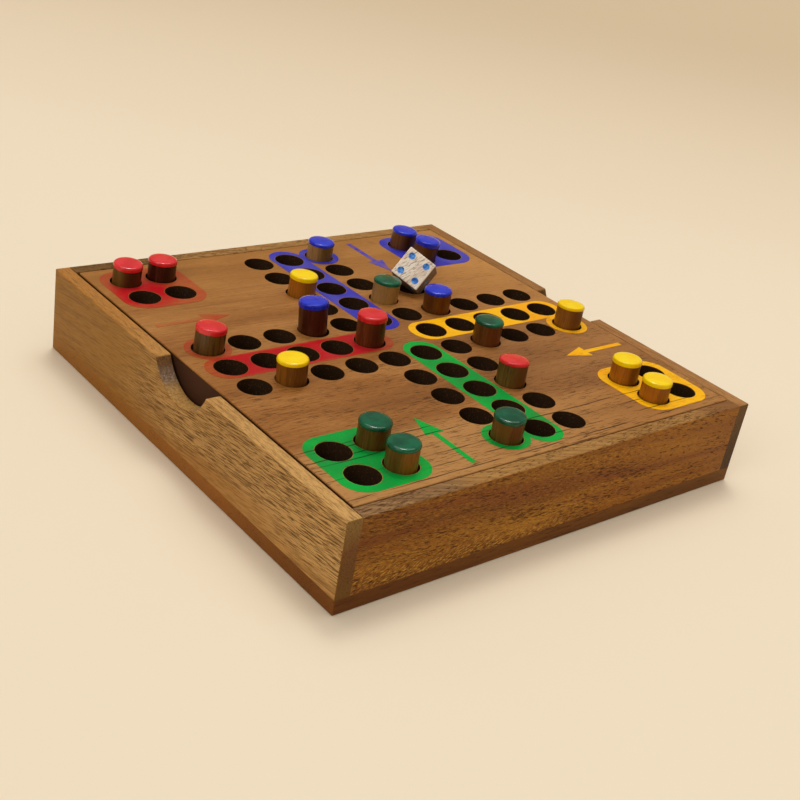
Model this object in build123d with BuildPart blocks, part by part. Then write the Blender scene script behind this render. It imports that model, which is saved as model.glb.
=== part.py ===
from build123d import *
from math import cos, radians, sin, tan
import os

# Wooden travel ludo: a drilled board that lifts out of a shallow tray, with pegs and a die.
# Frame: millimetres, +Z up, origin at the centre of the tray's underside.
# +X runs from the red side to the yellow side, +Y from the green side to the blue side.

os.makedirs("parts", exist_ok=True)

# ---------------------------------------------------------------- playing field
PITCH = 14.4                # centre to centre of neighbouring holes
ARM_HOLES = 5               # holes from the centre to the end of each arm
HOLE_D = 11.5               # peg hole
HOLE_DEPTH = 9.0            # blind depth of every hole
BORDER = 12.3               # centre of an outermost hole to the edge of the board
HOME_STEPS = 2              # each home is this many holes square

# ---------------------------------------------------------------- board
BOARD_T = 12.0              # thickness of the board
BOARD_EDGE_R = 0.5          # eased edge round the board
BOARD_SHIFT_X = 0.4         # the board lies a little to the right in its play

# ---------------------------------------------------------------- tray
BASE_T = 5.5                # bottom panel
CAVITY_H = 14.5             # storage height under the board
SIDE_WALL_T = 5.5           # left and right walls, which run the full depth
END_WALL_T = 5.3            # front and back walls, butted between the side walls
SIDE_PLAY = 0.6             # gap between board and side wall, each side
END_PLAY = 0.4              # gap between board and end wall, each side
EDGE_R = 0.5                # eased corners and underside of the tray
RIM_R = 0.5                 # sanded edges of the wall tops and the finger notches
CLEAT_W = 6.0               # width of the strips that carry the board
NOTCH_R = 17.0              # radius of the finger notch
NOTCH_DEPTH = 10.0          # how deep the notch cuts below the wall top

# ---------------------------------------------------------------- prints on the board
PRINT_T = 0.08              # thickness of the printed colour
PRINT_CLEAR = 0.15          # bare rim between a hole and the print around it
LANE_SIDE = 1.5             # lane edge beyond a hole, at the side
LANE_END = 3.0              # lane edge beyond a hole, at both ends
LANE_CORNER_R = 6.9         # rounded ends of a lane
START_RING = 2.35           # ring of colour round the start hole
HOME_MARGIN = 3.3           # home patch beyond its holes
HOME_CORNER_R = 8.2         # rounded corners of a home patch
ARROW_OFFSET = 35.3         # arrow's line from the middle of the board
ARROW_TIP = 50.6            # arrow's tip from the middle of the board
ARROW_HEAD_L = 10.6         # length of the arrow's head
ARROW_HEAD_W = 7.3          # width of the arrow's head
ARROW_SHAFT_L = 18.8        # length of the arrow's shaft
ARROW_SHAFT_W = 2.0         # width of the arrow's shaft

# ---------------------------------------------------------------- pegs
PEG_D = 10.3                # dowel
PEG_L = 17.0                # nominal length of a peg, which is sawn by hand
SAW_STEP = 0.25             # unevenness of the sawn lengths is counted in these
PEG_TOP_R = 0.5             # rounded top edge
PAINT_T = 0.2               # coat of paint over the top
PAINT_CROWN = 0.35          # the coat swells this much more in the middle
PAINT_LIP_R = 0.12          # rounded lower edge of the coat
PAINT_DROP = 0.7            # least that the coat comes down the side
DIP_STEP = 0.1              # unevenness of the dipping is counted in these
PEG_SEAT = 0.05             # clearance under a leaning peg

# ---------------------------------------------------------------- die
DIE = 12.5                  # side of the cube
DIE_EDGE_R = 0.5            # sanded edges
SOCKET_X = 32.4             # socket that holds the die on its corner
SOCKET_Y = 34.4
SOCKET_D = 12.7
SOCKET_DEPTH = 7.0
DIE_SEAT = 0.25             # clearance between the die and the socket's rim
FACE_AZIMUTH = -140.0       # way that the four-pip face looks, seen from above
FACE_RISE = 33.0            # and how far it looks up
FACE_TURN = -25.0           # turn of the die about that direction
PIP_D = 2.8                 # drilled pip
PIP_DEPTH = 0.8
PIP_PAINT_T = 0.15
PIP_SPREAD = 3.5            # pip centres from the middle of a face

# ---------------------------------------------------------------- worked out from the above
FIELD = ARM_HOLES * PITCH
BOARD = 2 * (FIELD + BORDER)
INSIDE_X = BOARD + 2 * SIDE_PLAY
INSIDE_Y = BOARD + 2 * END_PLAY
BOX_X = INSIDE_X + 2 * SIDE_WALL_T
BOX_Y = INSIDE_Y + 2 * END_WALL_T
WALL_H = CAVITY_H + BOARD_T
BOARD_UNDER_Z = BASE_T + CAVITY_H
TOP_Z = BASE_T + WALL_H
HOLE_R = HOLE_D / 2
PEG_R = PEG_D / 2

floor_plane = Plane.XY.offset(BASE_T)
under_plane = Plane(origin=(BOARD_SHIFT_X, 0, BOARD_UNDER_Z))
top_plane = Plane(origin=(BOARD_SHIFT_X, 0, TOP_Z))

steps = range(-ARM_HOLES, ARM_HOLES + 1)
home_start = ARM_HOLES - HOME_STEPS + 1
cross_holes = [(i, j) for i in steps for j in steps if min(abs(i), abs(j)) <= 1 and (i, j) != (0, 0)]
home_holes = [(i, j) for i in steps for j in steps if min(abs(i), abs(j)) >= home_start]
hole_centres = [(i * PITCH, j * PITCH) for i, j in cross_holes + home_holes]


def save(part, name):
    """Label a finished piece and write it as its own STEP file."""
    part.label = name
    export_step(part, f"parts/{name}.step")


# ---------------------------------------------------------------- tray
with BuildPart() as base_panel:
    with BuildSketch():
        Rectangle(BOX_X, BOX_Y)
    extrude(amount=BASE_T)
    fillet(base_panel.edges().filter_by(Axis.Z), EDGE_R)
    fillet(base_panel.faces().sort_by(Axis.Z)[0].edges(), EDGE_R)
save(base_panel.part, "base_panel")


def side_wall(name, side):
    """Full-depth wall with a finger notch; side is -1 for left and +1 for right."""
    outer_x = side * BOX_X / 2
    with BuildPart() as wall:
        with BuildSketch(floor_plane):
            with Locations((outer_x - side * SIDE_WALL_T / 2, 0)):
                Rectangle(SIDE_WALL_T, BOX_Y)
        extrude(amount=WALL_H)
        outer_face = wall.faces().sort_by(Axis.X)[-1 if side > 0 else 0]
        fillet(outer_face.edges().filter_by(Axis.Z), EDGE_R)
        with BuildSketch(Plane.YZ.offset(outer_x)):
            with Locations((0, TOP_Z + NOTCH_R - NOTCH_DEPTH)):
                Circle(NOTCH_R)
        extrude(amount=-side * SIDE_WALL_T, mode=Mode.SUBTRACT)
        top_edges = wall.edges().filter_by(Axis.Y).group_by(Axis.Z)[-1]
        notch_lips = wall.edges().filter_by(Axis.X).group_by(Axis.Z)[-1].group_by(SortBy.DISTANCE)[0]
        notch_arcs = wall.edges().filter_by(GeomType.CIRCLE).group_by(Edge.radius.fget)[-1]
        fillet(top_edges + notch_lips + notch_arcs, RIM_R)
    save(wall.part, name)


side_wall("left_wall", -1)
side_wall("right_wall", 1)


def end_wall(name, side):
    """Wall butted between the side walls; side is -1 for front and +1 for back."""
    with BuildPart() as wall:
        with BuildSketch(floor_plane):
            with Locations((0, side * (BOX_Y - END_WALL_T) / 2)):
                Rectangle(INSIDE_X, END_WALL_T)
        extrude(amount=WALL_H)
        fillet(wall.faces().sort_by(Axis.Z)[-1].edges().filter_by(Axis.X), RIM_R)
    save(wall.part, name)


end_wall("front_wall", -1)
end_wall("back_wall", 1)


def cleat(name, side):
    """Strip glued inside an end wall, which the board rests on."""
    with BuildPart() as strip:
        with BuildSketch(floor_plane):
            with Locations((0, side * (INSIDE_Y - CLEAT_W) / 2)):
                Rectangle(INSIDE_X, CLEAT_W)
        extrude(amount=CAVITY_H)
        upper = strip.faces().sort_by(Axis.Z)[-1].edges().filter_by(Axis.X).sort_by(Axis.Y)
        chamfer(upper[0 if side > 0 else -1], EDGE_R)
    save(strip.part, name)


cleat("front_cleat", -1)
cleat("back_cleat", 1)

# ---------------------------------------------------------------- board
with BuildPart() as board_lid:
    with BuildSketch(under_plane):
        Rectangle(BOARD, BOARD)
    extrude(amount=BOARD_T)
    fillet(board_lid.edges(), BOARD_EDGE_R)
    with BuildSketch(top_plane):
        with Locations(*hole_centres):
            Circle(HOLE_R)
    extrude(amount=-HOLE_DEPTH, mode=Mode.SUBTRACT)
    with BuildSketch(top_plane):
        with Locations((SOCKET_X, SOCKET_Y)):
            Circle(SOCKET_D / 2)
    extrude(amount=-SOCKET_DEPTH, mode=Mode.SUBTRACT)
save(board_lid.part, "board_lid")


def colour_print(name, turn):
    """Lane, start ring, home patch and arrow of one player, turned about the board's middle."""
    lane_inner = PITCH - HOLE_R - LANE_END
    lane_outer = FIELD + HOLE_R + LANE_END
    home_inner = home_start * PITCH - HOLE_R - HOME_MARGIN
    home_outer = FIELD + HOLE_R + HOME_MARGIN
    with BuildPart() as skin:
        with BuildSketch(top_plane.rotated((0, 0, turn))):
            with Locations(((lane_inner + lane_outer) / 2, 0)):
                RectangleRounded(lane_outer - lane_inner, HOLE_D + 2 * LANE_SIDE, LANE_CORNER_R)
            with Locations((FIELD, -PITCH)):
                Circle(HOLE_R + START_RING)
            with Locations(((home_inner + home_outer) / 2, -(home_inner + home_outer) / 2)):
                RectangleRounded(home_outer - home_inner, home_outer - home_inner, HOME_CORNER_R)
            with Locations(*hole_centres):
                Circle(HOLE_R + PRINT_CLEAR, mode=Mode.SUBTRACT)
            with BuildLine():
                neck = ARROW_TIP + ARROW_HEAD_L
                tail = neck + ARROW_SHAFT_L
                Polyline(
                    (ARROW_TIP, -ARROW_OFFSET),
                    (neck, -ARROW_OFFSET + ARROW_HEAD_W / 2),
                    (neck, -ARROW_OFFSET + ARROW_SHAFT_W / 2),
                    (tail, -ARROW_OFFSET + ARROW_SHAFT_W / 2),
                    (tail, -ARROW_OFFSET - ARROW_SHAFT_W / 2),
                    (neck, -ARROW_OFFSET - ARROW_SHAFT_W / 2),
                    (neck, -ARROW_OFFSET - ARROW_HEAD_W / 2),
                    close=True,
                )
            make_face()
        extrude(amount=PRINT_T)
    save(skin.part, name)


players = ["yellow", "blue", "red", "green"]
for number, colour in enumerate(players):
    colour_print(f"print_{colour}", number * 360 / len(players))


# ---------------------------------------------------------------- pegs
def make_peg(length, drop):
    """Upright dowel with its foot at the origin, and its coat of paint, which comes down by drop."""
    side = PEG_R + PAINT_T
    top = length + PAINT_T
    with BuildPart() as dowel:
        Cylinder(PEG_R, length, align=(Align.CENTER, Align.CENTER, Align.MIN))
        fillet(dowel.edges().group_by(Axis.Z)[-1], PEG_TOP_R)
    with BuildPart() as coat:
        with BuildSketch(Plane.XZ) as section:
            with BuildLine():
                TangentArc((0, top + PAINT_CROWN), (side, top), tangent=(1, 0))
                Polyline((side, top), (side, length - drop), (0, length - drop), (0, top + PAINT_CROWN))
            make_face()
            lip, rim = section.vertices().group_by(Axis.X)[-1].sort_by(Axis.Y)
            fillet(rim, PEG_TOP_R + PAINT_T)
            fillet(lip, PAINT_LIP_R)
        revolve(axis=Axis.Z)
        add(dowel.part, mode=Mode.SUBTRACT)
    return dowel.part, coat.part


def peg_place(hole, lean, towards):
    """Place for a peg in a hole, leaning by an angle towards a compass direction."""
    slip = HOLE_DEPTH / 2 * tan(radians(lean))
    rise = PEG_R * sin(radians(lean)) + (PEG_SEAT if lean else 0)
    foot = Vector(
        BOARD_SHIFT_X + hole[0] * PITCH - slip * cos(radians(towards)),
        hole[1] * PITCH - slip * sin(radians(towards)),
        TOP_Z - HOLE_DEPTH + rise,
    )
    return Location(foot, (0, 0, towards)) * Location((0, 0, 0), (0, lean, 0)) * Location((0, 0, 0), (0, 0, -towards))


END = ARM_HOLES
IN = ARM_HOLES - 1
# each peg's hole, the saw and dip steps that its length and its coat have more than the plain ones,
# its lean in degrees and which way it leans
pegs = {
    "red": [
        ((-END, END), -4, 5, 4, -82),
        ((-IN, END), -4, 3, 1, -32),
        ((-END, 1), 0, 7, 3, 0),
        ((-1, 0), 10, 8, 2, 169),
        ((1, -3), -1, 1, 4, 51),
    ],
    "blue": [
        ((IN, END), -4, 0, 3, -41),
        ((IN, IN), 0, 8, 5, -41),
        ((1, END), -6, 1, 2, -75),
        ((-2, 1), 11, 8, 5, 131),
        ((2, 1), 0, 1, 2, 174),
    ],
    "yellow": [
        ((-1, 3), -2, 5, 2, -37),
        ((-IN, -1), -2, 1, 3, 162),
        ((END, -1), 0, 1, 2, 40),
        ((IN, -IN), 0, 5, 2, 144),
        ((IN, -END), -4, 4, 1, 180),
    ],
    "green": [
        ((-IN, -IN), -2, 0, 3, -127),
        ((-IN, -END), -1, 0, 3, -160),
        ((-1, -END), -1, 1, 4, -145),
        ((1, 2), -1, 1, 2, -22),
        ((2, -1), 1, 0, 0, 0),
    ],
}
for colour, places in pegs.items():
    for number, (hole, saw, dip, lean, towards) in enumerate(places, start=1):
        wood, paint = make_peg(PEG_L + saw * SAW_STEP, PAINT_DROP + dip * DIP_STEP)
        place = peg_place(hole, lean, towards)
        save(wood.moved(place), f"peg_{colour}_{number}")
        save(paint.moved(place), f"paint_{colour}_{number}")


# ---------------------------------------------------------------- die
# The die stands on one corner in its socket. Three edges rise from that corner, and all three
# touch the socket's rim, so the circle through their crossings with the board's top is the rim.
face_normal = Vector(1, 0, 0).rotate(Axis.Y, -FACE_RISE).rotate(Axis.Z, FACE_AZIMUTH)
level = Vector(0, 0, 1).cross(face_normal).normalized()
face_side = level.rotate(Axis((0, 0, 0), face_normal), FACE_TURN)
edge_ways = [face_side, face_normal.cross(face_side), face_normal]
edge_ways = [way if way.Z > 0 else -way for way in edge_ways]
spread = [Vector(way.X / way.Z, way.Y / way.Z, 0) for way in edge_ways]
rim_arc = ThreePointArc(*spread)
corner_depth = (SOCKET_D / 2 - DIE_SEAT) / rim_arc.radius
corner = Vector(BOARD_SHIFT_X + SOCKET_X, SOCKET_Y, TOP_Z - corner_depth) - rim_arc.arc_center * corner_depth
die_centre = corner + (edge_ways[0] + edge_ways[1] + edge_ways[2]) * (DIE / 2)
die_plane = Plane(origin=die_centre, x_dir=face_side, z_dir=face_normal)

pip_r = PIP_D / 2
ball_r = (pip_r**2 + PIP_DEPTH**2) / (2 * PIP_DEPTH)
ball_lift = ball_r - PIP_DEPTH
s = PIP_SPREAD
pip_patterns = {
    1: [(0, 0)],
    2: [(-s, -s), (s, s)],
    3: [(-s, -s), (0, 0), (s, s)],
    4: [(-s, -s), (-s, s), (s, -s), (s, s)],
    5: [(-s, -s), (-s, s), (0, 0), (s, -s), (s, s)],
    6: [(-s, -s), (-s, 0), (-s, s), (s, -s), (s, 0), (s, s)],
}
# opposite faces add up to seven; the four looks along the die's own +Z
die_faces = {4: Plane.XY, 3: -Plane.XY, 1: Plane.YZ, 6: -Plane.YZ, 2: Plane.XZ, 5: -Plane.XZ}
pip_places = [
    Plane(
        origin=face.offset(DIE / 2 + ball_lift).from_local_coords(Vector(*spot, 0)),
        x_dir=face.x_dir,
        z_dir=face.z_dir,
    )
    for count, face in die_faces.items()
    for spot in pip_patterns[count]
]

with BuildPart() as die_block:
    Box(DIE, DIE, DIE)
    fillet(die_block.edges(), DIE_EDGE_R)
with BuildPart() as die_body:
    add(die_block.part)
    with Locations(*pip_places):
        Sphere(ball_r, mode=Mode.SUBTRACT)
with BuildPart() as die_pips:
    with Locations(*pip_places):
        Sphere(ball_r)
        Sphere(ball_r - PIP_PAINT_T, mode=Mode.SUBTRACT)
    add(die_block.part, mode=Mode.INTERSECT)
save(die_body.part.moved(die_plane.location), "die")
save(die_pips.part.moved(die_plane.location), "die_pips")
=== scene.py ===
"""Looks of the wooden travel ludo: woods, printed colours, dipped paint, floor, light and camera.

The CAD nodes stay where they are and get procedural materials. Lengths in the materials are in
millimetres, everything else is in metres, in the CAD's own frame.
"""
import math

import bpy
from mathutils import Matrix, Vector


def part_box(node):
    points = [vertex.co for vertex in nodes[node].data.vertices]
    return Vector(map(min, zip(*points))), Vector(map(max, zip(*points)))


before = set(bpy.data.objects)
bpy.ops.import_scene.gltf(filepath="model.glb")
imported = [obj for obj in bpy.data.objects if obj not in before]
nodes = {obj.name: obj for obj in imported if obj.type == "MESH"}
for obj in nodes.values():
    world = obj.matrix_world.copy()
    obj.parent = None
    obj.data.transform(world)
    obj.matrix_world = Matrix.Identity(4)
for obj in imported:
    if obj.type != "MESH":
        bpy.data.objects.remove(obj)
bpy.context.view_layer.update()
MM = 0.001
PLAYERS = ("red", "blue", "yellow", "green")
PEGS_EACH = 5


# ---------------------------------------------------------------- sizes of the object, in millimetres
def box_mm(node):
    """Lowest and highest corner of a node, to a hundredth of a millimetre."""
    low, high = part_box(node)
    return [round(value / MM, 2) for value in low], [round(value / MM, 2) for value in high]


def middle_mm(node):
    low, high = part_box(node)
    return (Vector(low) + Vector(high)) / 2 / MM


wall_low, wall_high = box_mm("left_wall")
board_low, board_high = box_mm("board_lid")
BASE_TOP = wall_low[2]           # the walls stand on the bottom panel
TOP = wall_high[2]               # the board lies flush with the walls
WALL_END = wall_high[1]
WALL_OUT = -wall_low[0]
BOARD_UNDER = board_low[2]
BOARD_HALF = board_high[1]
BOARD_SHIFT_X = (board_low[0] + board_high[0]) / 2
PITCH = 14.4                     # centre to centre of neighbouring holes
NOTCH_R = 17.0                   # finger notch in the side walls
NOTCH_DEPTH = 10.0
NOTCH_AXIS_Z = TOP + NOTCH_R - NOTCH_DEPTH
ARROW_BAND = (28.0, 42.0)        # an arrow lies between these, counted from the board's middle line
ABOUT_X, ABOUT_Y, ABOUT_Z = (1.0, 0.0, 0.0), (0.0, 1.0, 0.0), (0.0, 0.0, 1.0)


# ---------------------------------------------------------------- shader helpers
def srgb(red, green, blue):
    """Linear colour of an 8-bit screen colour."""
    linear = [((v / 255 + 0.055) / 1.055) ** 2.4 if v > 10 else v / 255 / 12.92 for v in (red, green, blue)]
    return (*linear, 1.0)


class Shader:
    """A material with one Principled BSDF, and short ways to add nodes in front of it."""

    def __init__(self, name):
        self.material = bpy.data.materials.new(name)
        self.material.use_nodes = True
        self.tree = self.material.node_tree
        self.tree.nodes.clear()
        self.surface = self.tree.nodes.new("ShaderNodeBsdfPrincipled")
        output = self.tree.nodes.new("ShaderNodeOutputMaterial")
        self.tree.links.new(self.surface.outputs[0], output.inputs[0])
        self.object_place = None

    def put(self, socket, value):
        """Links the output of another node to a socket, or sets the socket to a plain value."""
        if isinstance(value, bpy.types.NodeSocket):
            self.tree.links.new(value, socket)
        else:
            socket.default_value = value

    def coat(self, colour, roughness, specular=0.5):
        self.put(self.surface.inputs["Base Color"], colour)
        self.put(self.surface.inputs["Roughness"], roughness)
        self.put(self.surface.inputs["Specular IOR Level"], specular)

    def node(self, kind, inputs, **settings):
        made = self.tree.nodes.new(kind)
        for key, value in settings.items():
            setattr(made, key, value)
        for key, value in inputs.items():
            self.put(made.inputs[key], value)
        return made

    def math(self, operation, first, second=0.0, clamp=False):
        inputs = {0: first, 1: second}
        return self.node("ShaderNodeMath", inputs, operation=operation, use_clamp=clamp).outputs[0]

    def add(self, *terms):
        total = terms[0]
        for term in terms[1:]:
            total = self.math("ADD", total, term)
        return total

    def times(self, *terms):
        total = terms[0]
        for term in terms[1:]:
            total = self.math("MULTIPLY", total, term)
        return total

    def swing(self, value, reach):
        """Turns a value from 0 to 1 into one that swings about 0, over the reach in all."""
        return self.times(self.math("SUBTRACT", value, 0.5), reach)

    def vector(self, operation, first, second):
        return self.node("ShaderNodeVectorMath", {0: first, 1: second}, operation=operation).outputs[0]

    def place(self):
        """Object coordinates in millimetres."""
        if self.object_place is None:
            where = self.node("ShaderNodeTexCoord", {}).outputs["Object"]
            self.object_place = self.vector("MULTIPLY", where, (1 / MM, 1 / MM, 1 / MM))
        return self.object_place

    def split(self, vector):
        return self.node("ShaderNodeSeparateXYZ", {"Vector": vector}).outputs

    def turned(self, vector, axis, degrees):
        inputs = {"Vector": vector, "Axis": axis, "Angle": math.radians(degrees)}
        return self.node("ShaderNodeVectorRotate", inputs, rotation_type="AXIS_ANGLE").outputs[0]

    def distance(self, vector, centre):
        inputs = {0: vector, 1: centre}
        return self.node("ShaderNodeVectorMath", inputs, operation="DISTANCE").outputs["Value"]

    def noise(self, vector, detail=2.0, roughness=0.5):
        inputs = {"Vector": vector, "Scale": 1.0, "Detail": detail, "Roughness": roughness}
        return self.node("ShaderNodeTexNoise", inputs).outputs["Fac"]

    def line_noise(self, place, detail=2.0):
        inputs = {"W": place, "Scale": 1.0, "Detail": detail}
        return self.node("ShaderNodeTexNoise", inputs, noise_dimensions="1D").outputs["Fac"]

    def mottle(self, scale, detail=2.0, roughness=0.5, turn=None):
        """Noise over the object's coordinates, which turn (axis, degrees) can turn first.

        scale is per millimetre: one number, or one for each axis.
        """
        place = self.turned(self.place(), *turn) if turn else self.place()
        scales = scale if isinstance(scale, tuple) else (scale, scale, scale)
        return self.noise(self.vector("MULTIPLY", place, scales), detail, roughness)

    def step(self, value, low, high):
        """0 below low, 1 above high, smooth between; low above high turns it round."""
        inputs = {"Value": value, "From Min": low, "From Max": high}
        return self.node("ShaderNodeMapRange", inputs, interpolation_type="SMOOTHSTEP").outputs["Result"]

    def band(self, value, low, high, soft):
        """1 between low and high, 0 outside, with soft edges."""
        rising = self.step(value, low - soft, low + soft)
        return self.times(rising, self.step(value, high + soft, high - soft))

    def blend(self, factor, first, second):
        """The first colour where the factor is 0, the second where it is 1."""
        made = self.node("ShaderNodeMix", {"Factor": factor}, data_type="RGBA")
        colour_a, colour_b, colour_out = 6, 7, 2
        self.put(made.inputs[colour_a], first)
        self.put(made.inputs[colour_b], second)
        return made.outputs[colour_out]

    def ramp(self, factor, stops):
        made = self.node("ShaderNodeValToRGB", {"Fac": factor})
        points = made.color_ramp.elements
        while len(points) < len(stops):
            points.new(0.5)
        for point, (place, colour) in zip(points, stops):
            point.position = place
            point.color = colour
        return made.outputs["Color"]

    def bump(self, height, depth_mm):
        inputs = {"Height": height, "Distance": depth_mm * MM}
        self.put(self.surface.inputs["Normal"], self.node("ShaderNodeBump", inputs).outputs["Normal"])


def dress(node, material):
    """Gives a CAD node its only material."""
    slots = nodes[node].data.materials
    slots.clear()
    slots.append(material)


# ---------------------------------------------------------------- solid wood
AXIS_ORDER = {"X": "XYZ", "Y": "YXZ", "Z": "ZXY"}    # grain axis: along the log, then across it
WARP_SIZE = (70, 16)             # length and width of the waves in the year rings
BLOTCH_SIZE = (55, 16)
CROWD_SIZE = (34, 7)             # patches where pores crowd together
STREAK_EDGE = 0.16


def wood_figure(sh, wood, grain, shift, tilt=None):
    """The layers that make up a solid wood, the same on long faces and end grain.

    grain is the axis that the fibres follow, shift picks the piece of the log, and tilt is an
    (axis, degrees) turn of the fibres against the board that was sawn.
    """
    at = sh.place()
    if tilt:
        at = sh.turned(at, *tilt)
    parts = sh.split(at)
    ordered = {slot: parts[source] for slot, source in zip("XYZ", AXIS_ORDER[grain])}
    log = sh.vector("ADD", sh.node("ShaderNodeCombineXYZ", ordered).outputs[0], shift)

    def stretched(along, across):
        return sh.vector("MULTIPLY", log, (1 / along, 1 / across, 1 / across))

    sides = sh.split(log)
    pith_y, pith_z = wood["pith"]
    sideways = sh.math("POWER", sh.math("SUBTRACT", sides["Y"], pith_y), 2.0)
    upward = sh.math("POWER", sh.math("SUBTRACT", sides["Z"], pith_z), 2.0)
    radius = sh.math("SQRT", sh.math("ADD", sideways, upward))
    radius = sh.add(radius, sh.swing(sh.noise(stretched(*WARP_SIZE), 2.0), wood["warp"]))
    rings = sh.line_noise(sh.math("DIVIDE", radius, wood["ring"]), 3.0)
    fibre = sh.noise(stretched(*wood["fibre"]), 3.0, 0.65)
    blotch = sh.noise(stretched(*BLOTCH_SIZE), 1.0)
    speck = sh.noise(stretched(*wood["speck"]), 2.0, 0.6)

    tone = 0.5
    for name, layer in (("ring", rings), ("fibre", fibre), ("blotch", blotch), ("speck", speck)):
        tone = sh.add(tone, sh.swing(layer, wood[f"{name}_tone"]))
    colour = sh.ramp(sh.math("ADD", tone, 0.0, clamp=True), wood["colours"])

    crowd = sh.swing(sh.noise(stretched(*CROWD_SIZE), 1.0), wood["pore_crowd"])
    pores = sh.noise(stretched(*wood["pore"]), 2.0, 0.55)
    limit = wood["pore_limit"]
    pores = sh.step(sh.add(pores, crowd), limit, limit + wood["pore_edge"])
    streaks = sh.noise(stretched(*wood["streak"]), 2.0, 0.6)
    streaks = sh.step(streaks, wood["streak_limit"], wood["streak_limit"] + STREAK_EDGE)
    return {"colour": colour, "fibre": fibre, "pores": pores, "streaks": streaks, "blotch": blotch,
            "log": log, "wood": wood}


def tint(sh, figure, share, colour):
    """Lays a colour over that of a figure, by the share."""
    figure["colour"] = sh.blend(share, figure["colour"], colour)


def ink_in(sh, figure, pore_share=None):
    """Adds the dark streaks and pores of a figure to its colour, then its relief and roughness."""
    wood = figure["wood"]
    tint(sh, figure, sh.times(figure["streaks"], wood["streak_depth"]), wood["streak_colour"])
    if pore_share is not None:
        figure["pores"] = sh.times(figure["pores"], pore_share)
    pores = figure["pores"]
    tint(sh, figure, sh.times(pores, wood["pore_depth"]), wood["pore_colour"])
    figure["height"] = sh.math("SUBTRACT", sh.times(figure["fibre"], 0.35), pores)
    rough = sh.add(wood["roughness"], sh.times(pores, 0.2))
    figure["roughness"] = sh.add(rough, sh.swing(figure["blotch"], 0.15))
    return figure


def finish_wood(sh, figure, depth_mm=0.1, specular=0.16):
    sh.coat(figure["colour"], figure["roughness"], specular)
    sh.bump(figure["height"], depth_mm)
    return sh.material


# Kinds of wood. "pith" is the middle of the log, "ring" the width of a year ring, and a pair after
# another name is the length and width of that pattern.
BASE = {
    "pith": (0.0, -60.0), "ring": 4.0, "warp": 10.0, "ring_tone": 0.9, "fibre_tone": 0.6,
    "blotch_tone": 0.5, "speck_tone": 0.2, "speck": (2.4, 0.55), "fibre": (26.0, 0.8),
    "pore": (5.0, 0.32), "pore_limit": 0.6, "pore_crowd": 0.2, "pore_edge": 0.09, "pore_depth": 0.55,
    "streak": (40.0, 1.4), "streak_limit": 0.6, "streak_depth": 0.3, "roughness": 0.5,
}
BOARD_WOOD = BASE | {
    "pith": (30.0, -160.0), "ring": 5.0, "ring_tone": 0.6, "fibre_tone": 0.5, "blotch_tone": 0.6,
    "speck_tone": 0.35,
    "colours": [(0.1, srgb(112, 66, 24)), (0.5, srgb(152, 98, 44)), (0.9, srgb(186, 132, 72))],
    "pore_colour": srgb(70, 40, 22), "streak_colour": srgb(106, 64, 36), "pore_depth": 0.75,
    "streak": (60.0, 2.2), "streak_depth": 0.35, "pore": (6.0, 0.36), "pore_limit": 0.585,
}
SIDE_WOOD = BASE | {
    "pith": (-150.0, 40.0), "ring": 6.0, "ring_tone": 0.5, "fibre_tone": 0.5, "blotch_tone": 0.4,
    "colours": [(0.1, srgb(146, 104, 48)), (0.5, srgb(182, 138, 76)), (0.9, srgb(210, 170, 108))],
    "pore_colour": srgb(88, 57, 24), "streak_colour": srgb(126, 86, 40), "pore": (6.5, 0.34),
    "pore_limit": 0.508, "pore_edge": 0.07, "pore_crowd": 0.04, "pore_depth": 0.82,
    "streak": (30.0, 0.9), "streak_limit": 0.5, "streak_depth": 0.5,
}
FRONT_WOOD = BASE | {
    "pith": (-40.0, 90.0), "ring": 7.0, "warp": 14.0, "speck_tone": 1.5, "fibre_tone": 0.4,
    "ring_tone": 0.6, "speck": (1.7, 0.4),
    "colours": [(0.05, srgb(92, 52, 4)), (0.5, srgb(146, 88, 12)), (0.95, srgb(204, 145, 46))],
    "pore_colour": srgb(72, 40, 12), "streak_colour": srgb(104, 60, 22), "pore": (2.6, 0.42),
    "pore_limit": 0.56, "pore_crowd": 0.3, "pore_depth": 0.78, "streak": (50.0, 1.8),
}
DARK_WOOD = BASE | {
    "pith": (0.0, 80.0), "ring": 5.0, "fibre_tone": 0.5, "ring_tone": 0.6,
    "colours": [(0.1, srgb(86, 48, 8)), (0.5, srgb(122, 73, 16)), (0.9, srgb(144, 92, 26))],
    "pore_colour": srgb(58, 30, 10), "streak_colour": srgb(84, 46, 16),
}
PEG_WOOD = BASE | {
    "pith": (20.0, 30.0), "ring": 2.5, "warp": 3.0, "fibre_tone": 0.6, "ring_tone": 0.6,
    "blotch_tone": 0.3, "fibre": (20.0, 0.5), "pore": (6.0, 0.3), "pore_depth": 0.6,
    "streak": (16.0, 0.6), "streak_limit": 0.5, "streak_depth": 0.5, "roughness": 0.34,
}
DIE_WOOD = BASE | {
    "pith": (60.0, 20.0), "ring": 1.4, "warp": 5.0, "ring_tone": 0.9, "speck_tone": 0.7,
    "colours": [(0.1, srgb(224, 200, 182)), (0.4, srgb(252, 236, 216)), (0.9, srgb(255, 250, 238))],
    "pore_colour": srgb(132, 108, 98), "streak_colour": srgb(200, 164, 150), "fibre": (9.0, 0.4),
    "pore": (2.2, 0.4), "pore_limit": 0.56, "streak": (8.0, 0.6), "streak_limit": 0.52,
    "streak_depth": 0.6,
}


# ---------------------------------------------------------------- tray
def top_skin(sh, parts):
    """1 on the walls' tops, and 0 a little below them."""
    return sh.step(parts["Z"], TOP - 0.5, TOP - 0.15)


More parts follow.
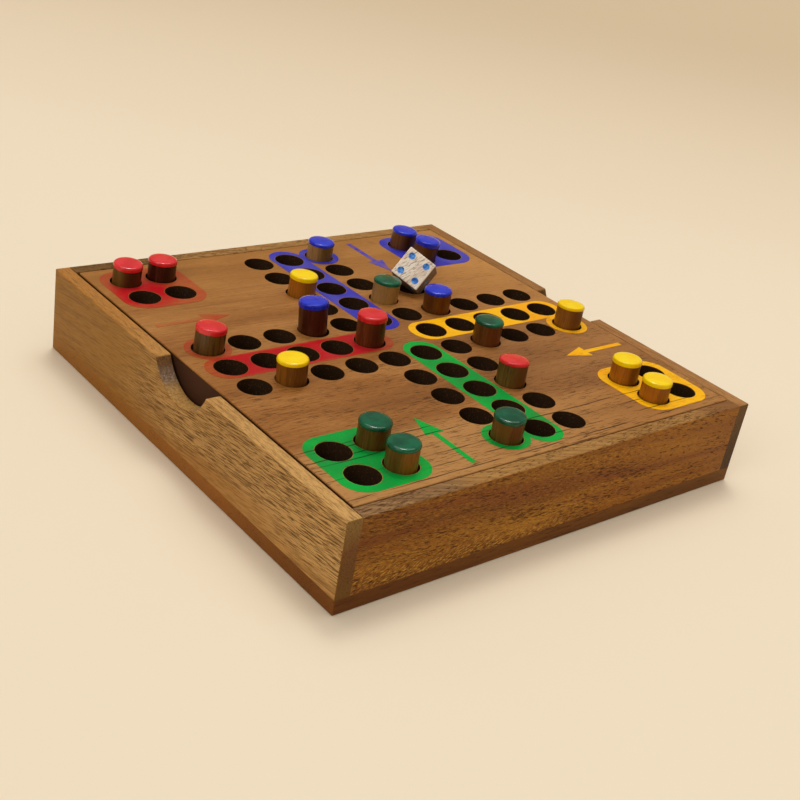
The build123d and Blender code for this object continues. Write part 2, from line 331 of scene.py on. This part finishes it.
def wall_ends(sh, figure, shades):
    """Darker end grain on the two sawn ends of a side wall, with the shades from its foot to its top."""
    parts = sh.split(sh.place())
    at_end = sh.step(sh.math("ABSOLUTE", parts["Y"]), WALL_END - 0.3, WALL_END - 0.1)
    height = sh.math("DIVIDE", sh.math("SUBTRACT", parts["Z"], BASE_TOP), TOP - BASE_TOP)
    drift = sh.swing(sh.mottle((0.3, 0.3, 0.12)), 0.3)
    grain = sh.ramp(sh.add(height, drift), shades)
    dots = sh.step(sh.mottle(1.6, 2.0, 0.6), 0.5, 0.64)
    grain = sh.blend(sh.times(dots, 0.4), grain, srgb(64, 40, 20))
    tint(sh, figure, at_end, grain)


def notch_face(sh, figure):
    """Speckled end grain in the finger notch: brown below its lip, then grey, and golden at its bottom."""
    parts = sh.split(sh.place())
    flat = sh.node("ShaderNodeCombineXYZ", {"X": 0.0, "Y": parts["Y"], "Z": parts["Z"]}).outputs[0]
    inside = sh.step(sh.distance(flat, (0.0, 0.0, NOTCH_AXIS_Z)), NOTCH_R + 0.45, NOTCH_R + 0.15)
    below = sh.step(parts["Z"], TOP - 0.2, TOP - 0.7)
    speck = sh.mottle(1.3, 3.0, 0.7)
    lip = sh.ramp(speck, [(0.3, srgb(76, 48, 24)), (0.7, srgb(136, 96, 56))])
    grey = sh.ramp(speck, [(0.3, srgb(90, 66, 46)), (0.5, srgb(126, 100, 78)), (0.7, srgb(170, 146, 124))])
    gold = sh.ramp(speck, [(0.3, srgb(140, 98, 46)), (0.6, srgb(188, 144, 80))])
    height = sh.add(parts["Z"], sh.swing(speck, 5.0))
    face = sh.blend(sh.step(height, 27.0, 30.0), grey, lip)
    face = sh.blend(sh.step(height, 23.0, 26.0), gold, face)
    tint(sh, figure, sh.times(inside, below), face)


def side_wall(node, shift, tilt, top_colours, end_shades):
    """Left or right wall: golden at its foot, browner at the back, paler and full of pores in front."""
    sh = Shader(f"{node}_wood")
    figure = wood_figure(sh, SIDE_WOOD, "Y", shift, tilt)
    parts = sh.split(sh.place())
    drift = sh.swing(figure["blotch"], 14.0)
    along = sh.add(parts["Y"], sh.times(drift, 3.0))
    foot = sh.step(sh.add(parts["Z"], drift), 15.0, 8.0)
    back = sh.step(along, 0.0, 55.0)
    near = sh.step(along, -10.0, -80.0)
    tint(sh, figure, sh.times(foot, 0.55), srgb(164, 106, 32))
    tint(sh, figure, sh.times(back, 0.75), srgb(148, 100, 28))
    tint(sh, figure, sh.times(near, 0.35), srgb(222, 178, 112))
    on_top = top_skin(sh, parts)
    far = sh.step(sh.add(parts["Y"], drift), -60.0, 70.0)
    tint(sh, figure, sh.times(on_top, 0.65), sh.blend(far, *top_colours))
    calm = sh.math("MAXIMUM", sh.times(foot, 0.7), sh.times(back, 0.8))
    calm = sh.math("MAXIMUM", sh.times(calm, 0.85), sh.times(on_top, 0.6))
    ink_in(sh, figure, sh.math("SUBTRACT", 1.0, calm))
    wall_ends(sh, figure, end_shades)
    notch_face(sh, figure)
    dress(node, finish_wood(sh, figure))


LEFT_TOP = (srgb(210, 162, 96), srgb(190, 126, 58))
LEFT_END = [(0.0, srgb(114, 80, 26)), (0.35, srgb(118, 78, 32)), (0.6, srgb(126, 80, 36)),
            (0.9, srgb(144, 110, 56))]
RIGHT_TOP = (srgb(158, 98, 50), srgb(150, 100, 56))
RIGHT_END = [(0.0, srgb(76, 50, 22)), (0.5, srgb(94, 64, 28)), (0.9, srgb(112, 80, 38))]
side_wall("left_wall", (40.0, 0.0, 0.0), (ABOUT_X, 7.0), LEFT_TOP, LEFT_END)
side_wall("right_wall", (400.0, 90.0, 20.0), (ABOUT_X, -3.0), RIGHT_TOP, RIGHT_END)


def curly_front(sh, figure, parts, wave):
    """Curls, a paler foot and darker bands at the left of an end wall, and a calm plank at its right."""
    across = sh.add(parts["X"], wave)
    upward = sh.add(parts["Z"], wave)
    curl = sh.step(sh.mottle((0.45, 0.9, 1.9), 3.0, 0.7, (ABOUT_Y, 24.0)), 0.46, 0.62)
    low = sh.step(upward, 20.0, 8.0)
    left = sh.step(across, 34.0, -10.0)
    tint(sh, figure, sh.times(left, 0.32), srgb(96, 54, 4))
    tint(sh, figure, sh.times(low, left, curl, 0.8), srgb(212, 158, 62))
    high = sh.step(upward, 17.0, 27.0)
    tint(sh, figure, sh.times(high, curl, 0.4), srgb(100, 58, 12))
    bands = sh.step(sh.mottle((0.014, 0.1, 0.16), 1.0, turn=(ABOUT_Y, -5.0)), 0.5, 0.64)
    tint(sh, figure, sh.times(bands, 0.45), srgb(122, 58, 20))
    calm = sh.mottle((0.012, 0.2, 0.28), turn=(ABOUT_Y, -3.0))
    calm = sh.ramp(calm, [(0.3, srgb(122, 66, 8)), (0.5, srgb(152, 93, 14)), (0.7, srgb(170, 112, 22))])
    tint(sh, figure, sh.times(sh.step(across, -5.0, 60.0), 0.65), calm)


def end_wall(node, shift, *top_shades):
    """Front or back wall; its top shows the (dark, light) pairs of shades from left to right."""
    sh = Shader(f"{node}_wood")
    figure = wood_figure(sh, FRONT_WOOD, "X", shift, (ABOUT_Y, -4.0))
    parts = sh.split(sh.place())
    wave = sh.swing(figure["blotch"], 20.0)
    curly_front(sh, figure, parts, wave)
    slant = sh.mottle((0.05, 0.9, 0.9), 3.0, 0.6, (ABOUT_Z, 24.0))
    left, middle, right = (sh.ramp(slant, [(0.3, dark), (0.7, light)]) for dark, light in top_shades)
    length = sh.add(parts["X"], sh.times(wave, 0.7))
    top = sh.blend(sh.step(length, -52.0, -34.0), left, middle)
    top = sh.blend(sh.step(length, 58.0, 76.0), top, right)
    tint(sh, figure, sh.times(top_skin(sh, parts), 0.85), top)
    ink_in(sh, figure)
    dress(node, finish_wood(sh, figure))


GREY_GRAIN = (srgb(106, 76, 46), srgb(164, 126, 84))
GOLD_GRAIN = (srgb(138, 96, 46), srgb(188, 142, 80))
BROWN_GRAIN = (srgb(112, 72, 38), srgb(146, 100, 56))
OLIVE_GRAIN = (srgb(96, 68, 30), srgb(128, 94, 46))
end_wall("front_wall", (100.0, 0.0, 0.0), GREY_GRAIN, GOLD_GRAIN, BROWN_GRAIN)
end_wall("back_wall", (700.0, 33.0, 60.0), OLIVE_GRAIN, GOLD_GRAIN, GOLD_GRAIN)


def cleat(node, shift):
    sh = Shader(f"{node}_wood")
    dress(node, finish_wood(sh, ink_in(sh, wood_figure(sh, FRONT_WOOD, "X", shift))))


cleat("front_cleat", (300.0, 70.0, 10.0))
cleat("back_cleat", (500.0, 50.0, 44.0))


def base_panel():
    """Dark panel that turns browner to the left and greyer to the right, with paler left and right sides."""
    sh = Shader("base_panel_wood")
    figure = wood_figure(sh, DARK_WOOD, "X", (13.0, 5.0, 3.0))
    parts = sh.split(sh.place())
    side = sh.step(sh.math("ABSOLUTE", parts["X"]), WALL_OUT - 0.45, WALL_OUT - 0.2)
    side_stops = [(0.02, srgb(122, 72, 20)), (0.3, srgb(158, 98, 34)), (1.0, srgb(158, 104, 32))]
    side_colour = sh.ramp(sh.step(parts["Y"], -90.0, 80.0), side_stops)
    tint(sh, figure, sh.times(sh.step(parts["X"], 0.0, 80.0), 0.4), srgb(104, 68, 26))
    tint(sh, figure, sh.times(sh.step(parts["X"], -10.0, -85.0), 0.45), srgb(80, 38, 8))
    tint(sh, figure, sh.times(side, 0.85), side_colour)
    dress("base_panel", finish_wood(sh, ink_in(sh, figure)))


base_panel()

# ---------------------------------------------------------------- board and its printed colours
CRACKS = (  # line across the grain, slope, where it starts and ends along the grain, half width
    (-54.4, 0.006, -84.0, -46.0, 0.12),
    (-57.0, -0.004, -84.0, -34.0, 0.14),
    (-60.2, 0.010, -84.0, -20.0, 0.16),
    (-63.4, 0.004, -84.0, -44.0, 0.13),
    (-66.4, 0.006, -60.0, 70.0, 0.13),
    (-71.2, 0.002, -84.0, 84.0, 0.12),
    (-77.0, -0.003, -50.0, 84.0, 0.13),
    (-81.6, 0.001, -84.0, 60.0, 0.15),
)
CRACK_TAPER = 5.0                # a crack thins out over this length at either end
BAND_BACK, BAND_FRONT = -50.0, -66.0     # the pale band along the board's front begins between these
PALE = srgb(186, 136, 78)


def board_tones(sh, figure, parts):
    """Broad differences in the board: pale front band, brown near right, golden right side, and a golden
    back that is partly a painted sheen.
    """
    wave = sh.swing(figure["blotch"], 14.0)
    across = sh.add(parts["X"], wave)
    along = sh.add(parts["Y"], wave)
    front = sh.step(along, BAND_BACK, BAND_FRONT)
    left = sh.step(sh.add(parts["X"], sh.times(wave, 3.0)), 40.0, -20.0)
    tint(sh, figure, sh.times(front, left, 0.68), PALE)
    tint(sh, figure, sh.times(front, 0.3), PALE)
    near_right = sh.times(sh.step(across, -10.0, 40.0), sh.step(parts["Y"], 30.0, -20.0),
                          sh.step(along, BAND_FRONT, BAND_BACK))
    tint(sh, figure, sh.times(near_right, 0.36), srgb(126, 86, 52))
    right_side = sh.times(sh.step(across, 30.0, 78.0), sh.step(parts["Y"], -80.0, 50.0))
    tint(sh, figure, sh.times(right_side, 0.5), srgb(206, 148, 80))
    # painted sheen, partly the wood's tone: the board turns golden towards the back
    tint(sh, figure, sh.times(sh.step(along, 20.0, 80.0), 0.4), srgb(170, 118, 52))
    back = sh.step(along, -50.0, 50.0)
    ink_in(sh, figure, sh.math("SUBTRACT", 1.0, sh.times(back, 0.65)))


def board_cracks(sh, parts):
    """1 in the fine cracks that follow the grain along the board's front."""
    wobble = sh.swing(sh.line_noise(sh.math("MULTIPLY", parts["X"], 0.04), 3.0), 1.8)
    broken = sh.step(sh.mottle((0.05, 0.5, 0.0), 1.0), 0.36, 0.56)
    cracks = 0.0
    for line, slope, start, end, half in CRACKS:
        rise = sh.math("SUBTRACT", parts["Y"], sh.add(sh.times(parts["X"], slope), wobble, line))
        thin = sh.step(sh.math("ABSOLUTE", rise), half + 0.22, half - 0.05)
        reach = sh.band(parts["X"], start, end, CRACK_TAPER)
        cracks = sh.math("MAXIMUM", cracks, sh.times(thin, reach, broken))
    return cracks


def board_figure(sh):
    """The board's wood, which also runs on under the printed colours, with its cracks."""
    figure = wood_figure(sh, BOARD_WOOD, "X", (0.0, 0.0, 0.0), (ABOUT_Z, 1.5))
    parts = sh.split(sh.place())
    board_tones(sh, figure, parts)
    cracks = board_cracks(sh, parts)
    figure["cracks"] = cracks
    tint(sh, figure, sh.times(cracks, 0.85), srgb(48, 28, 14))
    figure["height"] = sh.math("SUBTRACT", figure["height"], cracks)
    return figure


def board_lid():
    """The board, with painted shade darkening the inside of its holes, where dust specks show, and its sawn
    edges.
    """
    sh = Shader("board_wood")
    figure = board_figure(sh)
    parts = sh.split(sh.place())
    sideways = sh.math("ABSOLUTE", sh.math("SUBTRACT", parts["X"], BOARD_SHIFT_X))
    from_middle = sh.math("MAXIMUM", sideways, sh.math("ABSOLUTE", parts["Y"]))
    rim = sh.step(from_middle, BOARD_HALF - 1.2, BOARD_HALF - 0.9)
    in_holes = sh.band(parts["Z"], BOARD_UNDER + 0.8, TOP - 0.04, 0.03)
    at_edge = sh.band(parts["Z"], BOARD_UNDER + 0.8, TOP - 0.5, 0.25)
    shade_painted_area = sh.add(sh.times(rim, at_edge), sh.times(sh.math("SUBTRACT", 1.0, rim), in_holes))
    dust = sh.step(sh.mottle(1.6, 3.0, 0.7), 0.56, 0.7)
    hole_shade_and_dust = sh.blend(sh.times(dust, 0.6), srgb(56, 36, 18), srgb(112, 84, 56))
    # painted shade: hole walls get a dark brown with pale dust specks, the sawn edges a plain dark brown
    tint(sh, figure, shade_painted_area, sh.blend(rim, hole_shade_and_dust, srgb(70, 42, 26)))
    figure["roughness"] = sh.add(figure["roughness"], sh.times(shade_painted_area, 0.25))
    dress("board_lid", finish_wood(sh, figure))


board_lid()
RED_HOME = (-4.9 * PITCH, 4.2 * PITCH, TOP)
RED_LANE = (-74.0, -12.0)


def wear_red(sh):
    """How much of the red ink is rubbed off.

    Home and lane keep nearly all of it and lose some at their edges, the shaft of the arrow loses
    most, and the head of the arrow (towards the board's middle) less than the shaft.
    """
    place = sh.place()
    parts = sh.split(place)
    rub = sh.mottle(0.11, 3.0, 0.6)
    kept_home = sh.step(sh.distance(place, RED_HOME), 17.0, 6.0)
    in_lane = sh.step(sh.math("ABSOLUTE", parts["Y"]), 8.2, 5.8)
    kept_lane = sh.times(in_lane, sh.band(parts["X"], *RED_LANE, 5.0))
    kept = sh.math("MAXIMUM", kept_home, kept_lane)
    worn = sh.add(sh.math("SUBTRACT", 0.52, sh.times(kept, 0.52)), sh.swing(rub, 0.6))
    head = sh.step(parts["X"], -66.0, -57.0)
    arrow = sh.band(parts["Y"], *ARROW_BAND, 1.0)
    on_arrow = sh.times(arrow, sh.math("SUBTRACT", 0.27, sh.times(head, 0.34)))
    return sh.math("ADD", worn, on_arrow, clamp=True)


def wear_blue(sh):
    """Thin ink on the blue arrow."""
    thin = sh.step(sh.mottle(0.4, 3.0, 0.7), 0.4, 0.6)
    arrow = sh.band(sh.split(sh.place())["X"], *ARROW_BAND, 1.0)
    return sh.times(arrow, sh.add(0.06, sh.times(thin, 0.3)))


WEAR = {"red": wear_red, "blue": wear_blue}


def ink(colour, fresh, worn):
    """Printed colour over the board's wood, which shows in its pores, its cracks and where it is worn."""
    sh = Shader(f"print_{colour}_ink")
    figure = board_figure(sh)
    fade = sh.step(sh.noise(sh.vector("MULTIPLY", figure["log"], (0.05, 0.05, 0.05)), 2.0), 0.42, 0.62)
    bare = sh.times(figure["pores"], 0.35)
    if colour in WEAR:
        bare = sh.math("MAXIMUM", bare, WEAR[colour](sh))
    surface = sh.blend(bare, sh.blend(fade, fresh, worn), figure["colour"])
    surface = sh.blend(sh.times(figure["cracks"], 0.8), surface, srgb(20, 26, 12))
    sh.coat(surface, sh.add(0.42, sh.times(figure["pores"], 0.2)), 0.1)
    sh.bump(figure["height"], 0.08)
    dress(f"print_{colour}", sh.material)


ink("red", srgb(182, 8, 22), srgb(188, 30, 38))
ink("blue", srgb(50, 50, 176), srgb(74, 72, 178))
ink("yellow", srgb(252, 186, 14), srgb(248, 172, 12))
ink("green", srgb(0, 168, 60), srgb(8, 150, 58))

# ---------------------------------------------------------------- pegs and their painted tops
CAP_R = 5.15                     # radius of a painted top
CAP_FLAT_R = 4.0                 # the paint film starts to fall away towards the rim here
CAP_FALL = 0.3                   # how far it has fallen at the rim


def painted_top(node, deep, light, specular):
    """Glossy paint that has pooled a little, with a rounded rim that catches the light."""
    sh = Shader(f"{node}_gloss")
    pool = sh.step(sh.mottle(0.18), 0.35, 0.65)
    ripple = sh.mottle(0.35)
    sh.coat(sh.blend(pool, deep, light), sh.add(0.03, sh.times(ripple, 0.04)), specular)
    middle = middle_mm(node)
    flat = sh.vector("MULTIPLY", sh.place(), (1.0, 1.0, 0.0))
    out = sh.math("SUBTRACT", sh.distance(flat, (middle.x, middle.y, 0.0)), CAP_FLAT_R)
    out = sh.math("DIVIDE", sh.math("MAXIMUM", out, 0.0), CAP_R - CAP_FLAT_R)
    sh.bump(sh.math("SUBTRACT", sh.times(ripple, 0.03), sh.math("POWER", out, 2.0)), CAP_FALL)
    dress(node, sh.material)


PAINTS = {  # two shades and the specular level of each colour
    "red": (srgb(214, 28, 36), srgb(228, 46, 50), 0.5),
    "blue": (srgb(16, 38, 194), srgb(28, 52, 210), 0.5),
    "yellow": (srgb(255, 210, 0), srgb(255, 222, 0), 0.3),
    "green": (srgb(0, 72, 46), srgb(0, 97, 63), 0.38),
}
for player, paint in PAINTS.items():
    for number in range(1, PEGS_EACH + 1):
        painted_top(f"paint_{player}_{number}", *paint)

OLIVE, TAN, GOLD = srgb(98, 72, 22), srgb(172, 128, 66), srgb(142, 88, 22)
BROWN, ORANGE, GREY = srgb(98, 54, 12), srgb(172, 104, 20), srgb(96, 68, 30)
RUST, DARK, MAROON = srgb(106, 50, 16), srgb(58, 28, 6), srgb(68, 22, 6)
BLACK = (0, 0, 0, 1)
STRAW = srgb(205, 165, 110)
PEG_TONES = {  # wood on the left and on the right of each peg, partly its own colour and partly painted light and shade, and how strong its streaks are
    "red": ((OLIVE, MAROON, 0.3), (MAROON, DARK, 0.4), (GREY, OLIVE, 0.9),
            (RUST, MAROON, 0.6), (OLIVE, BROWN, 0.8)),
    "blue": ((BROWN, DARK, 0.4), (BROWN, DARK, 0.4), (TAN, OLIVE, 0.3),
             (MAROON, MAROON, 0.4), (BROWN, RUST, 0.4)),
    "yellow": ((ORANGE, GOLD, 0.3), (GOLD, BROWN, 0.6), (GOLD, BROWN, 0.5),
               (ORANGE, BROWN, 0.5), (ORANGE, GOLD, 0.4)),
    "green": ((OLIVE, BROWN, 0.5), (OLIVE, GOLD, 0.5), (OLIVE, RUST, 0.6),
              (TAN, TAN, 0.3), (BROWN, RUST, 0.5)),
}
TO_THE_RIGHT = (0.73, -0.68, 0.0)        # as the camera sees a peg


def between(low, high, share):
    return tuple(a + (b - a) * share for a, b in zip(low, high))


def peg(node, shift, left, right, streaky):
    """Turned dowel whose colour changes from its left half to its right half as the camera sees it: partly
    the wood's own colour, partly painted light and shade.
    """
    wood = PEG_WOOD | {
        "colours": [(0.1, between(left, BLACK, 0.35)), (0.5, left), (0.9, between(left, STRAW, 0.18))],
        "pore_colour": between(left, BLACK, 0.6), "streak_colour": between(left, BLACK, 0.6),
        "streak_depth": streaky,
    }
    sh = Shader(f"{node}_wood")
    figure = wood_figure(sh, wood, "Z", shift)
    inputs = {0: sh.vector("SUBTRACT", sh.place(), middle_mm(node)), 1: TO_THE_RIGHT}
    aside = sh.node("ShaderNodeVectorMath", inputs, operation="DOT_PRODUCT").outputs["Value"]
    # painted light and shade, partly the wood's own colour: the half towards the camera's right takes the
    # right-hand tone
    right_half_tone_and_shade = sh.step(sh.add(aside, sh.swing(figure["fibre"], 4.0)), -1.5, 2.5)
    tint(sh, figure, sh.times(right_half_tone_and_shade, 0.8), right)
    dress(node, finish_wood(sh, ink_in(sh, figure), depth_mm=0.05, specular=0.35))


for player, tones in PEG_TONES.items():
    for number, tone in enumerate(tones, start=1):
        shift = (37.0 * number, 61.0 * PLAYERS.index(player), 19.0 * number)
        peg(f"peg_{player}_{number}", shift, *tone)


# ---------------------------------------------------------------- die
def die():
    """Pale wood, with painted shade on the faces that look down into the socket."""
    sh = Shader("die_wood")
    figure = ink_in(sh, wood_figure(sh, DIE_WOOD, "X", (5.0, 9.0, 2.0), ((0.3, 0.8, 0.5), 40.0)))
    facing = sh.split(sh.node("ShaderNodeTexCoord", {}).outputs["Normal"])["Z"]
    # painted shade: faces whose normal points downward are darkened towards dark brown
    tint(sh, figure, sh.times(sh.step(facing, 0.05, -0.3), 0.78), srgb(76, 52, 38))
    dress("die", finish_wood(sh, figure))


def pips():
    sh = Shader("pip_gloss")
    shade = sh.mottle(0.9)
    sh.coat(sh.blend(sh.step(shade, 0.4, 0.6), srgb(44, 118, 214), srgb(100, 176, 248)), 0.3)
    sh.bump(shade, 0.03)
    dress("die_pips", sh.material)


die()
pips()

# ---------------------------------------------------------------- floor that bends up into a backdrop
FLOOR_R = 3.2                    # flat part of the floor
BACKDROP_R = 0.9                 # bend from the floor up into the backdrop
BACKDROP_TOP = 1.7
BEND_STEPS = 12
ROUND_STEPS = 96


def round_floor():
    """A disc whose rim bends up, as a mesh turned about the middle."""
    profile = [(FLOOR_R * share, 0.0) for share in (0.1, 0.4, 0.7)]
    for step in range(BEND_STEPS + 1):
        angle = math.pi / 2 * step / BEND_STEPS
        profile.append((FLOOR_R + BACKDROP_R * math.sin(angle), BACKDROP_R * (1 - math.cos(angle))))
    profile.append((FLOOR_R + BACKDROP_R, BACKDROP_TOP))
    points = [(0.0, 0.0, 0.0)]
    for radius, height in profile:
        for step in range(ROUND_STEPS):
            angle = 2 * math.pi * step / ROUND_STEPS
            points.append((radius * math.cos(angle), radius * math.sin(angle), height))
    faces = [(0, 1 + step, 1 + (step + 1) % ROUND_STEPS) for step in range(ROUND_STEPS)]
    for ring in range(len(profile) - 1):
        inner = 1 + ring * ROUND_STEPS
        outer = inner + ROUND_STEPS
        for step in range(ROUND_STEPS):
            after = (step + 1) % ROUND_STEPS
            faces.append((inner + step, outer + step, outer + after, inner + after))
    mesh = bpy.data.meshes.new("floor")
    mesh.from_pydata(points, [], faces)
    mesh.shade_smooth()
    mesh.materials.append(paper())
    return mesh


def paper():
    """Warm white paper, with painted shade that darkens it away from the camera, towards the back right, and
    far out.
    """
    sh = Shader("paper")
    parts = sh.split(sh.place())
    # painted shade: the paper darkens with distance, standing in for light falling off
    away = sh.add(sh.times(parts["X"], 0.7), sh.times(parts["Y"], 0.7))
    far_out = sh.times(sh.distance(sh.place(), (0.0, 0.0, 0.0)), 0.7)
    away = sh.step(sh.math("MAXIMUM", away, far_out), 60.0, 1000.0)
    stops = [(0.0, srgb(240, 226, 202)), (0.2, srgb(234, 218, 193)), (1.0, srgb(211, 191, 161))]
    sh.coat(sh.ramp(away, stops), 0.95, 0.1)
    return sh.material


floor = bpy.data.objects.new("floor", round_floor())
bpy.context.scene.collection.objects.link(floor)

# ---------------------------------------------------------------- light
LAMP_COLOUR = (1.0, 0.98, 0.95)
SKY_LEVEL = 0.2                  # strength of the world at its horizon and below
SKY_TOP = 0.53                   # and straight above


def sun(name, azimuth, elevation, spread, share):
    """A soft lamp far away that gives a level surface the share of full light."""
    azimuth, elevation = math.radians(azimuth), math.radians(elevation)
    lamp = bpy.data.lights.new(name, "SUN")
    lamp.angle = math.radians(spread)
    lamp.energy = math.pi * share / math.sin(elevation)
    lamp.color = LAMP_COLOUR
    held = bpy.data.objects.new(name, lamp)
    flat = math.cos(elevation)
    towards = Vector((flat * math.cos(azimuth), flat * math.sin(azimuth), math.sin(elevation)))
    held.rotation_euler = towards.to_track_quat("Z", "Y").to_euler()
    bpy.context.scene.collection.objects.link(held)


def sky():
    """An even world that grows brighter from its horizon to straight above."""
    world = bpy.data.worlds.new("studio")
    bpy.context.scene.world = world
    world.use_nodes = True
    tree = world.node_tree
    background = tree.nodes["Background"]
    background.inputs["Color"].default_value = srgb(252, 246, 236)
    way = tree.nodes.new("ShaderNodeTexCoord")
    rise = tree.nodes.new("ShaderNodeSeparateXYZ")
    dome = tree.nodes.new("ShaderNodeMapRange")
    dome.inputs["To Min"].default_value = SKY_LEVEL
    dome.inputs["To Max"].default_value = SKY_TOP
    tree.links.new(way.outputs["Generated"], rise.inputs[0])
    tree.links.new(rise.outputs["Z"], dome.inputs["Value"])
    tree.links.new(dome.outputs["Result"], background.inputs["Strength"])


sun("overhead", 40.0, 75.0, 48.0, 0.30)
sun("key", 50.0, 70.0, 14.0, 0.16)
sun("left_fill", 195.0, 34.0, 40.0, 0.14)
sky()

# ---------------------------------------------------------------- camera, fitted to the holes in the photo
CAMERA_AT = Vector((-281.8, -303.8, 217.6)) * MM
CAMERA_AIM = Vector((-15.35, -22.23, 20.0)) * MM
CAMERA_ROLL = 10.437
CAMERA_LENS = 56.57
SENSOR_WIDTH = 36.0
CLIP_START = 0.01
forward = (CAMERA_AIM - CAMERA_AT).normalized()
level = forward.cross(Vector((0, 0, 1))).normalized()
right = Matrix.Rotation(math.radians(-CAMERA_ROLL), 3, forward) @ level
above = right.cross(forward)
camera_data = bpy.data.cameras.new("camera")
camera_data.lens = CAMERA_LENS
camera_data.sensor_width = SENSOR_WIDTH
camera_data.clip_start = CLIP_START
camera = bpy.data.objects.new("camera", camera_data)
camera.matrix_world = Matrix.Translation(CAMERA_AT) @ Matrix((right, above, -forward)).transposed().to_4x4()
bpy.context.scene.collection.objects.link(camera)
bpy.context.scene.camera = camera
bpy.context.scene.view_settings.view_transform = "Standard"
